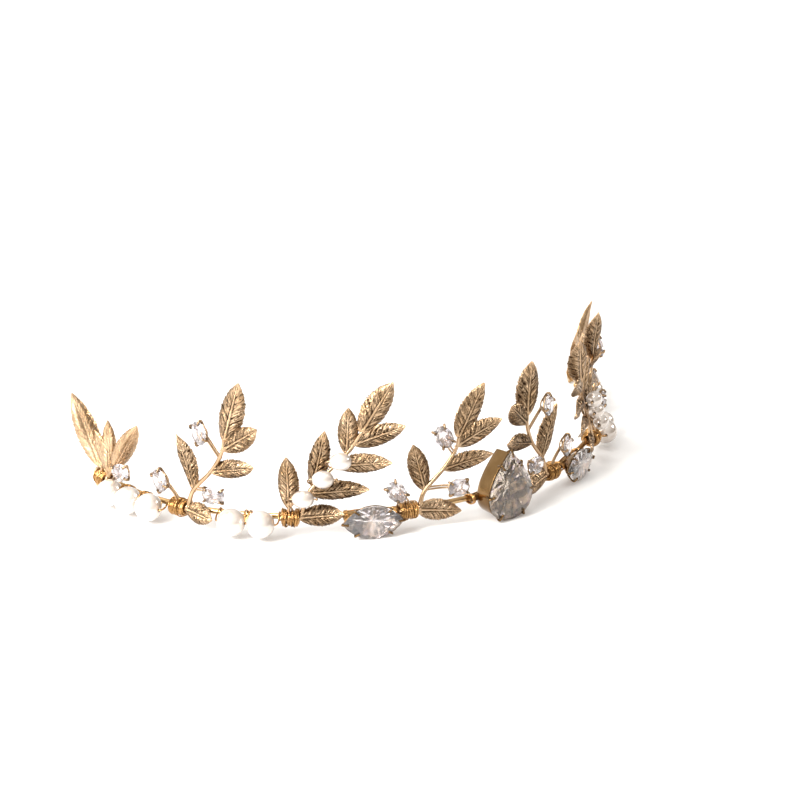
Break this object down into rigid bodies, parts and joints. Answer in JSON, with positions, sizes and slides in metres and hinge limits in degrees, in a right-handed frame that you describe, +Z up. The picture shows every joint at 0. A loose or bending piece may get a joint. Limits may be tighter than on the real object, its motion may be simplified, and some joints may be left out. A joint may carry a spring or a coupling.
{
  "type": "bridal tiara",
  "caption": "Bent gold wire tiara with veined leaf sprays, claw-set clear stones, a pear stone at the centre and wired pearls; open at the back, with an eyelet at each end.",
  "frame": {"origin": "under the middle of the tiara, on the surface that it stands on", "axes": "+X across from the left arm to the right arm as seen from the front, -Y the front where the pear stone is, +Z up"},
  "size_m": [0.1764, 0.0836, 0.0403],
  "materials": {
    "leaf_gold": "satin antique champagne gold, engraved veins darker",
    "band_gold": "polished gold-plated wire",
    "binding_gold": "bright orange-gold fine wire",
    "crystal": "polished clear faceted glass",
    "pearl": "nacre over a plastic core"
  },
  "bodies": {
    "root": {"band_wire": "band_gold", "pear_setting": "leaf_gold", "pear_stone": "crystal", "pear_tie": "binding_gold", "left_front_low_stone": "crystal", "left_front_high_stone": "crystal", "left_front_inner_stone": "crystal", "left_front_branch": "leaf_gold", "left_front_binding": "binding_gold", "left_marquise_setting": "leaf_gold", "left_marquise_stone": "crystal", "left_marquise_tie": "binding_gold", "left_middle_branch": "leaf_gold", "left_middle_binding": "binding_gold", "left_pearl_wire_1": "binding_gold", "left_side_low_stone": "crystal", "left_side_high_stone": "crystal", "left_side_inner_stone": "crystal", "left_side_branch": "leaf_gold", "left_side_binding": "binding_gold", "left_pearl_wire_3": "binding_gold", "left_end_stone": "crystal", "left_end_branch": "leaf_gold", "left_end_binding": "binding_gold", "right_front_low_stone": "crystal", "right_front_high_stone": "crystal", "right_front_inner_stone": "crystal", "right_front_branch": "leaf_gold", "right_front_binding": "binding_gold", "right_marquise_setting": "leaf_gold", "right_marquise_stone": "crystal", "right_marquise_tie": "binding_gold", "right_middle_branch": "leaf_gold", "right_middle_binding": "binding_gold", "right_pearl_wire_1": "binding_gold", "right_side_low_stone": "crystal", "right_side_high_stone": "crystal", "right_side_inner_stone": "crystal", "right_side_branch": "leaf_gold", "right_side_binding": "binding_gold", "right_pearl_wire_3": "binding_gold", "right_end_stone": "crystal", "right_end_branch": "leaf_gold", "right_end_binding": "binding_gold"},
    "left_middle_low_pearl": {"left_middle_low_pearl": "pearl"},
    "left_middle_mid_pearl": {"left_middle_mid_pearl": "pearl"},
    "left_middle_high_pearl": {"left_middle_high_pearl": "pearl"},
    "left_band_pearl_1": {"left_band_pearl_1": "pearl"},
    "left_band_pearl_2": {"left_band_pearl_2": "pearl"},
    "left_band_pearl_3": {"left_band_pearl_3": "pearl"},
    "left_band_pearl_4": {"left_band_pearl_4": "pearl"},
    "left_band_pearl_5": {"left_band_pearl_5": "pearl"},
    "right_middle_low_pearl": {"right_middle_low_pearl": "pearl"},
    "right_middle_mid_pearl": {"right_middle_mid_pearl": "pearl"},
    "right_middle_high_pearl": {"right_middle_high_pearl": "pearl"},
    "right_band_pearl_1": {"right_band_pearl_1": "pearl"},
    "right_band_pearl_2": {"right_band_pearl_2": "pearl"},
    "right_band_pearl_3": {"right_band_pearl_3": "pearl"},
    "right_band_pearl_4": {"right_band_pearl_4": "pearl"},
    "right_band_pearl_5": {"right_band_pearl_5": "pearl"}
  },
  "joints": [
    {"name": "left_middle_low_pearl_spin", "type": "hinge", "parent": "root", "child": "left_middle_low_pearl", "pos_m": [-0.05635, -0.02122, 0.01115], "axis": [-0.8049, 0.5934, 0], "continuous": true},
    {"name": "left_middle_mid_pearl_spin", "type": "hinge", "parent": "root", "child": "left_middle_mid_pearl", "pos_m": [-0.05213, -0.02358, 0.01605], "axis": [-0.8049, 0.5934, 0], "continuous": true},
    {"name": "left_middle_high_pearl_spin", "type": "hinge", "parent": "root", "child": "left_middle_high_pearl", "pos_m": [-0.04875, -0.02608, 0.02065], "axis": [-0.8049, 0.5934, 0], "continuous": true},
    {"name": "left_band_pearl_1_spin", "type": "hinge", "parent": "root", "child": "left_band_pearl_1", "pos_m": [-0.06469, -0.0151, 0.00455], "axis": [-0.736, 0.677, 0], "continuous": true},
    {"name": "left_band_pearl_2_spin", "type": "hinge", "parent": "root", "child": "left_band_pearl_2", "pos_m": [-0.06976, -0.00986, 0.00455], "axis": [-0.6531, 0.7573, 0], "continuous": true},
    {"name": "left_band_pearl_3_spin", "type": "hinge", "parent": "root", "child": "left_band_pearl_3", "pos_m": [-0.0814, 0.01009, 0.00455], "axis": [-0.3373, 0.9414, 0], "continuous": true},
    {"name": "left_band_pearl_4_spin", "type": "hinge", "parent": "root", "child": "left_band_pearl_4", "pos_m": [-0.08346, 0.01709, 0.00455], "axis": [-0.2266, 0.974, 0], "continuous": true},
    {"name": "left_band_pearl_5_spin", "type": "hinge", "parent": "root", "child": "left_band_pearl_5", "pos_m": [-0.0847, 0.02428, 0.00455], "axis": [-0.1128, 0.9936, 0], "continuous": true},
    {"name": "right_middle_low_pearl_spin", "type": "hinge", "parent": "root", "child": "right_middle_low_pearl", "pos_m": [0.04163, -0.02272, 0.01115], "axis": [-0.8227, -0.5685, 0], "continuous": true},
    {"name": "right_middle_mid_pearl_spin", "type": "hinge", "parent": "root", "child": "right_middle_mid_pearl", "pos_m": [0.03734, -0.02495, 0.01605], "axis": [-0.8227, -0.5685, 0], "continuous": true},
    {"name": "right_middle_high_pearl_spin", "type": "hinge", "parent": "root", "child": "right_middle_high_pearl", "pos_m": [0.03388, -0.02734, 0.02065], "axis": [-0.8227, -0.5685, 0], "continuous": true},
    {"name": "right_band_pearl_1_spin", "type": "hinge", "parent": "root", "child": "right_band_pearl_1", "pos_m": [0.05038, -0.01591, 0.00455], "axis": [-0.633, -0.7742, 0], "continuous": true},
    {"name": "right_band_pearl_2_spin", "type": "hinge", "parent": "root", "child": "right_band_pearl_2", "pos_m": [0.05498, -0.01025, 0.00455], "axis": [-0.6273, -0.7788, 0], "continuous": true},
    {"name": "right_band_pearl_3_spin", "type": "hinge", "parent": "root", "child": "right_band_pearl_3", "pos_m": [0.06818, 0.0065, 0.00455], "axis": [-0.6106, -0.7919, 0], "continuous": true},
    {"name": "right_band_pearl_4_spin", "type": "hinge", "parent": "root", "child": "right_band_pearl_4", "pos_m": [0.07261, 0.0123, 0.00455], "axis": [-0.6049, -0.7963, 0], "continuous": true},
    {"name": "right_band_pearl_5_spin", "type": "hinge", "parent": "root", "child": "right_band_pearl_5", "pos_m": [0.07701, 0.01812, 0.00455], "axis": [-0.5991, -0.8007, 0], "continuous": true}
  ]
}
